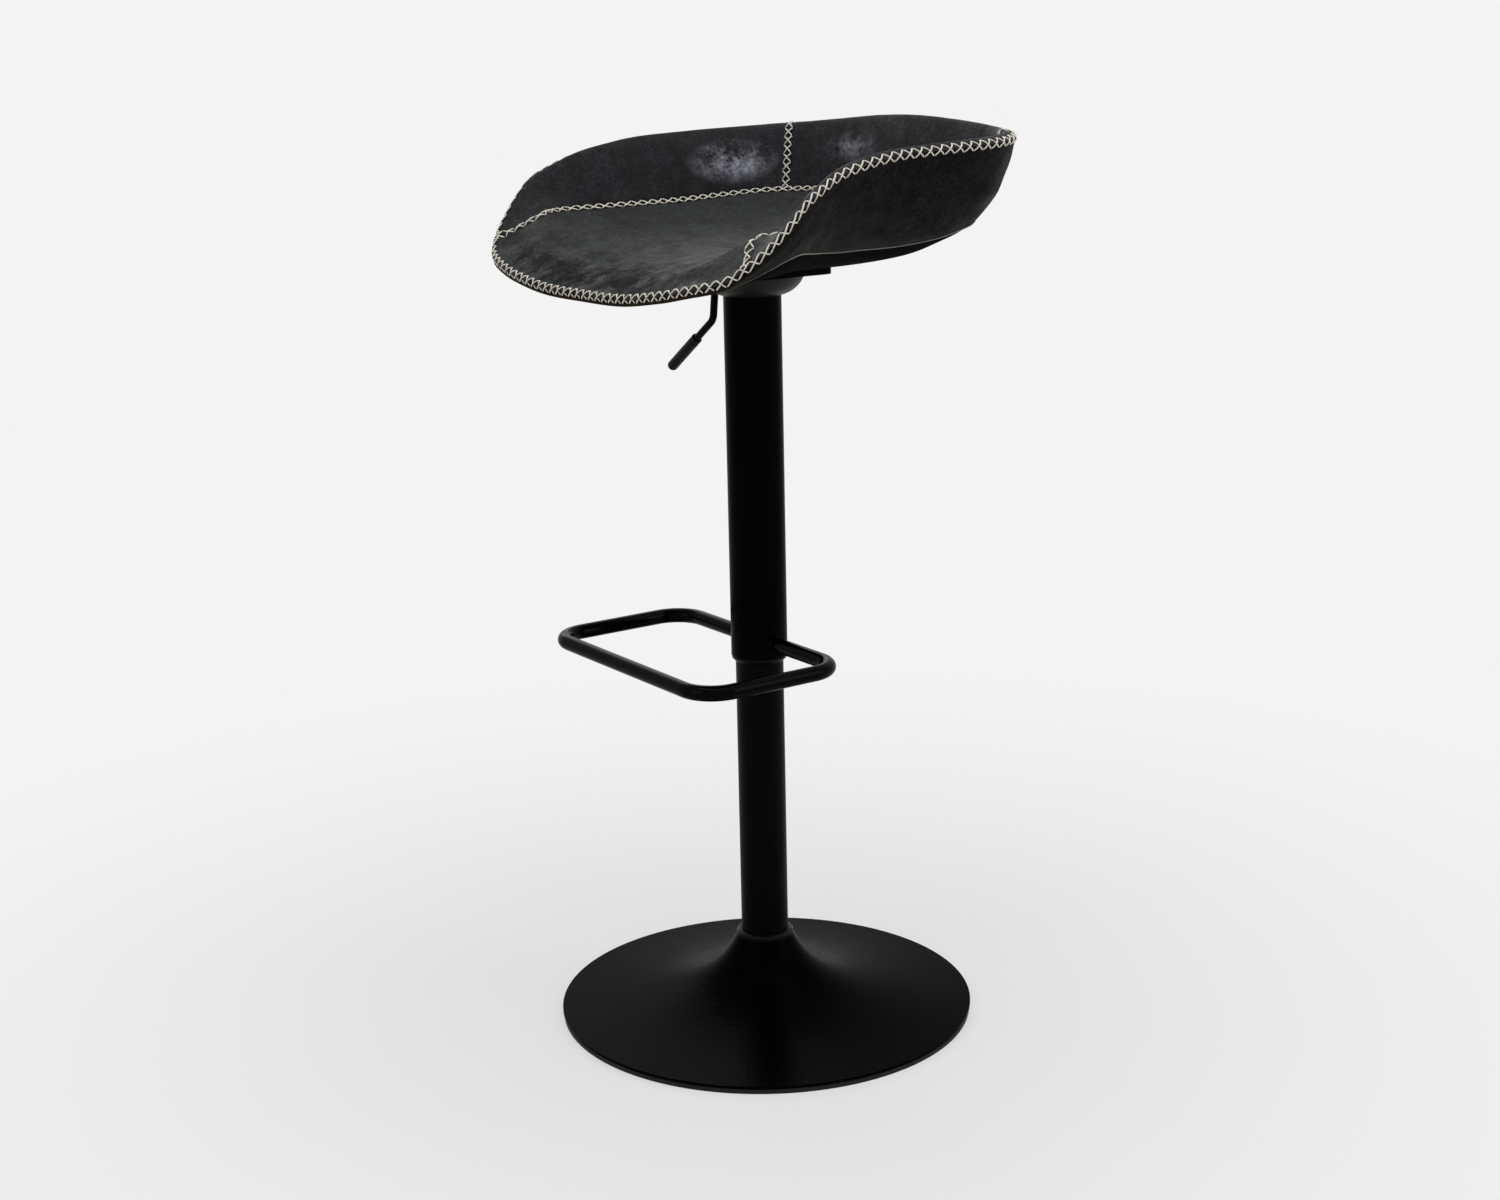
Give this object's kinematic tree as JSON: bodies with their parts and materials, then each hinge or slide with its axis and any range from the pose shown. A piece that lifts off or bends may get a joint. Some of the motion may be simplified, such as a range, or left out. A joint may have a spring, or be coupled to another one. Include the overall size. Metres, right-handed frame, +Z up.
{
  "type": "bar stool",
  "caption": "Height-adjustable swivel bar stool with a low wraparound padded leather seat, a tube footrest on the sliding sleeve and a black trumpet base",
  "frame": {"origin": "centre of the round base where it meets the floor", "axes": "+Z up, -Y the open front of the seat, +X the sitter's left"},
  "size_m": [0.505, 0.45, 0.9557],
  "materials": {
    "black_coat": "satin powder coat",
    "gloss_coat": "semi-gloss powder coat",
    "zinc_steel": "zinc plated",
    "dark_steel": "oiled steel",
    "polished_steel": "ground and polished",
    "cast_iron": "as cast, painted dark",
    "brass": "stamped",
    "rubber": "matte",
    "black_plastic": "fine grain",
    "plywood": "moulded plywood",
    "foam": "upholstery foam",
    "seat_leather": "worn black leather",
    "wall_leather": "worn black leather",
    "outer_leather": "worn black leather",
    "edge_leather": "raw brown edge",
    "dust_cloth": "non-woven cloth"
  },
  "bodies": {
    "base": {"base_ring": "rubber", "base_cover": "black_coat", "base_weight": "cast_iron", "base_bolts": "zinc_steel", "collar_ring": "black_plastic", "lower_column": "black_coat", "column_flange": "dark_steel", "guide_bush": "black_plastic", "bearing_seat": "zinc_steel", "bearing_cage": "brass", "bearing_balls": "polished_steel"},
    "rod": {"bearing_top": "zinc_steel", "stop_bumper": "rubber", "rod_clip": "dark_steel", "piston_rod": "polished_steel", "piston": "dark_steel"},
    "carriage": {"gas_cylinder": "black_coat", "cylinder_gland": "zinc_steel", "sleeve": "black_coat", "sleeve_cap": "black_plastic", "sleeve_bush": "black_plastic", "footrest": "gloss_coat", "footrest_welds": "gloss_coat", "bell_cover": "black_coat", "taper_socket": "dark_steel", "seat_plate": "black_coat", "seat_bolts": "zinc_steel", "seat_nuts": "zinc_steel", "lever_pin": "zinc_steel", "seat_board": "plywood", "foam_pad": "foam", "seat_panel": "seat_leather", "left_wall_panel": "wall_leather", "back_wall_panel": "wall_leather", "right_wall_panel": "wall_leather", "outer_cover": "outer_leather", "underside_cover": "dust_cloth"},
    "lever": {"lever_rod": "gloss_coat", "lever_grip": "black_plastic"},
    "pin": {"release_pin": "polished_steel"}
  },
  "joints": [
    {"name": "swivel", "type": "hinge", "parent": "base", "child": "rod", "pos_m": [0, 0, 0.03], "axis": [0, 0, 1], "continuous": true},
    {"name": "lift", "type": "slide", "parent": "rod", "child": "carriage", "axis": [0, 0, 1], "range_m": [-0.21, 0]},
    {"name": "lever_lift", "type": "hinge", "parent": "carriage", "child": "lever", "pos_m": [-0.036, 0, 0.8034], "axis": [0, 1, 0], "range_deg": [0, 5], "stiffness_Nm_per_rad": 10},
    {"name": "pin_press", "type": "slide", "parent": "carriage", "child": "pin", "axis": [0, 0, -1], "range_m": [0, 0.0035]}
  ],
  "couplings": [
    {"joint": "pin_press", "follows": "lever_lift", "m_per_rad": 0.036}
  ]
}
